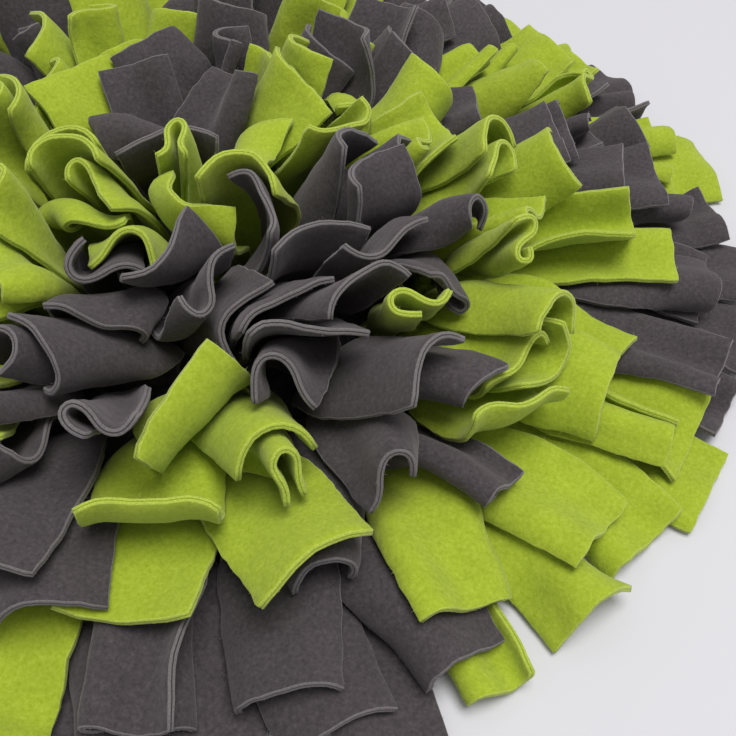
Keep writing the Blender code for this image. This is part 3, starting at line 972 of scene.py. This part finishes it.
class Nodes:
    """A material under construction."""

    def __init__(self, name):
        self.material = bpy.data.materials.new(name)
        self.material.use_nodes = True
        self.tree = self.material.node_tree
        self.shader = self.tree.nodes["Principled BSDF"]
        self.place = self.add("ShaderNodeTexCoord").outputs["Object"]

    def add(self, kind, **settings):
        node = self.tree.nodes.new(kind)
        for key, value in settings.items():
            setattr(node, key, value)
        return node

    def link(self, output, socket):
        self.tree.links.new(output, socket)

    def noise(self, size, detail, roughness=0.5):
        """Noise with features of about this size."""
        node = self.add("ShaderNodeTexNoise")
        node.inputs["Scale"].default_value = 1 / size
        node.inputs["Detail"].default_value = detail
        node.inputs["Roughness"].default_value = roughness
        self.link(self.place, node.inputs["Vector"])
        return node.outputs["Fac"]

    def ramp(self, factor, *stops):
        node = self.add("ShaderNodeValToRGB")
        ramp = node.color_ramp
        while len(ramp.elements) < len(stops):
            ramp.elements.new(0.5)
        for element, (position, colour) in zip(ramp.elements, stops):
            element.position = position
            element.color = (*colour, 1.0)
        self.link(factor, node.inputs["Fac"])
        return node.outputs["Color"]

    def multiply(self, first, second):
        node = self.add("ShaderNodeMix", data_type="RGBA", blend_type="MULTIPLY")
        sockets = {socket.name: socket for socket in node.inputs if socket.enabled}
        sockets["Factor"].default_value = 1.0
        self.link(first, sockets["A"])
        self.link(second, sockets["B"])
        return [socket for socket in node.outputs if socket.enabled][0]

    def bump(self, height, distance, strength, after=None):
        node = self.add("ShaderNodeBump")
        node.inputs["Strength"].default_value = strength
        node.inputs["Distance"].default_value = distance
        self.link(height, node.inputs["Height"])
        if after:
            self.link(after, node.inputs["Normal"])
        return node.outputs["Normal"]

    def finish(self, colour, normal, roughness, sheen, tint):
        shader = self.shader.inputs
        self.link(colour, shader["Base Color"])
        self.link(normal, shader["Normal"])
        shader["Roughness"].default_value = roughness
        shader["Specular IOR Level"].default_value = SPECULAR
        shader["Sheen Weight"].default_value = sheen
        shader["Sheen Roughness"].default_value = SHEEN_ROUGHNESS
        shader["Sheen Tint"].default_value = (*tint, 1.0)
        return self.material


def face_material(look):
    """Brushed fleece: a melange of fine fibres, soft clouds of pile and small pills."""
    nodes = Nodes(look["slot"])
    melange = nodes.noise(size=1.1 * MM, detail=4.0, roughness=0.7)
    cloud = nodes.noise(size=9 * MM, detail=3.0)
    fibres = nodes.noise(size=0.35 * MM, detail=1.0)
    stops = zip((0.28, 0.58, 0.80), (look["dark"], look["light"], look["fleck"]))
    shade = nodes.ramp(cloud, (0.30, (0.90, 0.90, 0.90)), (0.70, (1.0, 1.0, 1.0)))
    colour = nodes.multiply(nodes.ramp(melange, *stops), shade)
    pills = nodes.noise(size=2.6 * MM, detail=2.0)
    normal = nodes.bump(pills, distance=0.5 * MM, strength=0.5)
    normal = nodes.bump(fibres, distance=0.12 * MM, strength=0.6, after=normal)
    return nodes.finish(colour, normal, roughness=0.92, sheen=0.25, tint=look["sheen"])


def edge_material(look, key):
    """The cut edge's two layers, the groove between them in painted shade, or the loose fibres."""
    nodes = Nodes(f"{look['slot']}_{key}")
    cut = nodes.noise(size=0.45 * MM, detail=2.0, roughness=0.7)
    darker = tuple(0.72 * value for value in look[key])
    colour = nodes.ramp(cut, (0.35, darker), (0.60, look[key]))
    normal = nodes.bump(cut, distance=0.25 * MM, strength=0.8)
    return nodes.finish(colour, normal, roughness=0.95, sheen=0.35, tint=look["sheen"])


def felt_material():
    """Thick needled felt, dark grey with paler fibres."""
    nodes = Nodes("backing_felt")
    fibres = nodes.noise(size=0.9 * MM, detail=4.0, roughness=0.7)
    colour = nodes.ramp(fibres, (0.35, (0.030, 0.029, 0.031)), (0.68, (0.085, 0.082, 0.087)))
    normal = nodes.bump(fibres, distance=0.3 * MM, strength=0.7)
    return nodes.finish(colour, normal, roughness=0.95, sheen=0.2, tint=(0.5, 0.5, 0.52))


def joined(meshes):
    """The vertices and faces of several meshes as one mesh."""
    faces = []
    start = 0
    for points, corners in meshes:
        faces += [[int(corner) + start for corner in face] for face in corners]
        start += len(points)
    return np.concatenate([points for points, _ in meshes]), faces


def add_mesh(name, vertices, faces, materials, looks=None):
    """An object of this mesh. The looks are the number of each face's material."""
    mesh = bpy.data.meshes.new(name)
    mesh.from_pydata(np.asarray(vertices).tolist(), [], faces)
    for material in materials:
        mesh.materials.append(material)
    if looks is not None:
        mesh.polygons.foreach_set("material_index", np.asarray(looks, dtype=np.int32))
    mesh.shade_smooth()
    piece = bpy.data.objects.new(name, mesh)
    bpy.context.scene.collection.objects.link(piece)
    return piece


def add_bunch(number, knot, grids, materials, rng):
    """A bunch's knot and flaps, in place of the solid of the same number. Gives its fibres."""
    lumps = field(rng, LUMP_LENGTH)
    ragged = field(rng, RAGGED_LENGTH)
    meshes = [gathered_knot(knot["centre"], rng.uniform(0, 2 * math.pi))]
    looks = [np.full(len(meshes[0][1]), FACE)]
    fibres = []
    for points in grids:
        vertices, faces, kinds, loose = fleece_flap(points, lumps, ragged, rng)
        meshes.append((vertices, faces))
        looks.append(kinds)
        fibres.append(loose)
    slot = FLEECES[knot["colour"]]["slot"]
    colour = slot.split("_")[0]
    name = f"{colour}_fleece_{number:02d}"
    piece = add_mesh(name, *joined(meshes), materials[:-1], np.concatenate(looks))
    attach(piece, "root")
    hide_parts(f"{colour}_bunch_{number:02d}")
    return fibres


def add_fibres(colour, material, found):
    """The loose fibres of all flaps of one colour."""
    piece = add_mesh(f"{colour}_fibres", *joined(found), [material])
    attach(piece, "root")


def add_backing():
    """The felt disc, not quite round."""
    turn = np.arange(BACKING_SEGMENTS) * 2 * math.pi / BACKING_SEGMENTS
    wobble = 1 - BACKING_WOBBLE - BACKING_WOBBLE * np.cos(5 * turn) * np.cos(3 * turn + 1)
    outline = [
        (BACKING_RADIUS * reach * wobble, BACKING_THICKNESS * level)
        for reach, level in BACKING_PROFILE
    ]
    piece = add_mesh("felt_backing", *round_body((0.0, 0.0), turn, outline), [felt_material()])
    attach(piece, "root")
    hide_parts("backing")


# Stage: a pale floor, soft light from all round and one large lamp above on the right
FLOOR_COLOUR = (0.612, 0.607, 0.640)
FLOOR_REACH = 4.0
WORLD_COLOUR = (0.98, 0.98, 1.0)
WORLD_STRENGTH = 0.46
LAMP_PLACE = (0.3, -0.1, 1.4)
LAMP_SIZE = 0.9
LAMP_POWER = 18.2
LAMP_COLOUR = (1.0, 0.99, 0.97)

# The camera was fitted to the mat's outline in the photo
CAMERA_PLACE = (0.0791, -0.2271, 0.1998)
CAMERA_DOWN = 50 * DEG
CAMERA_TURN = 0.0702
FOCAL_PIXELS = 828
PHOTO_PIXELS = 736
SENSOR = 36.0
CLIP_START = 1 * MM


def add_floor():
    nodes = Nodes("pale_floor")
    tone = nodes.noise(size=0.35, detail=1.0)
    pale = tuple(0.97 * value for value in FLOOR_COLOUR)
    colour = nodes.ramp(tone, (0.3, pale), (0.7, FLOOR_COLOUR))
    nodes.link(colour, nodes.shader.inputs["Base Color"])
    nodes.shader.inputs["Roughness"].default_value = 0.85
    r = FLOOR_REACH
    corners = [(-r, -r, 0), (r, -r, 0), (r, r, 0), (-r, r, 0)]
    floor = add_mesh("floor", corners, [(0, 1, 2, 3)], [nodes.material])


def add_lights():
    world = bpy.data.worlds.new("soft_studio")
    world.use_nodes = True
    background = world.node_tree.nodes["Background"]
    background.inputs["Color"].default_value = (*WORLD_COLOUR, 1.0)
    background.inputs["Strength"].default_value = WORLD_STRENGTH
    bpy.context.scene.world = world
    bpy.context.scene.view_settings.view_transform = "Standard"
    light = bpy.data.lights.new("window", "AREA")
    light.shape = "DISK"
    light.size = LAMP_SIZE
    light.energy = LAMP_POWER
    light.color = LAMP_COLOUR
    lamp = bpy.data.objects.new("window", light)
    lamp.location = LAMP_PLACE
    lamp.rotation_euler = (-Vector(LAMP_PLACE)).to_track_quat("-Z", "Y").to_euler()
    bpy.context.scene.collection.objects.link(lamp)


def add_camera():
    camera = bpy.data.cameras.new("camera")
    camera.sensor_width = SENSOR
    camera.lens = SENSOR * FOCAL_PIXELS / PHOTO_PIXELS
    camera.clip_start = CLIP_START
    made = bpy.data.objects.new("camera", camera)
    made.location = CAMERA_PLACE
    made.rotation_euler = (math.pi / 2 - CAMERA_DOWN, 0.0, CAMERA_TURN)
    bpy.context.scene.collection.objects.link(made)
    bpy.context.scene.camera = made


def main():
    bunches = knots()
    found = arranged_flaps(bunches)
    surfaces = [fine_grid(points) for points in settled([flap for _, flap in found])]
    materials = {
        key: [face_material(look)] + [edge_material(look, kind) for kind in EDGE_KINDS]
        for key, look in FLEECES.items()
    }
    rng = np.random.default_rng(SEED)
    fibres = {key: [] for key in FLEECES}
    for number, knot in enumerate(bunches):
        grids = [grid for (owner, _), grid in zip(found, surfaces) if owner == number]
        fibres[knot["colour"]] += add_bunch(number, knot, grids, materials[knot["colour"]], rng)
    for key, look in FLEECES.items():
        add_fibres(look["slot"].split("_")[0], materials[key][-1], fibres[key])
    add_backing()
    add_floor()
    add_lights()
    add_camera()


main()
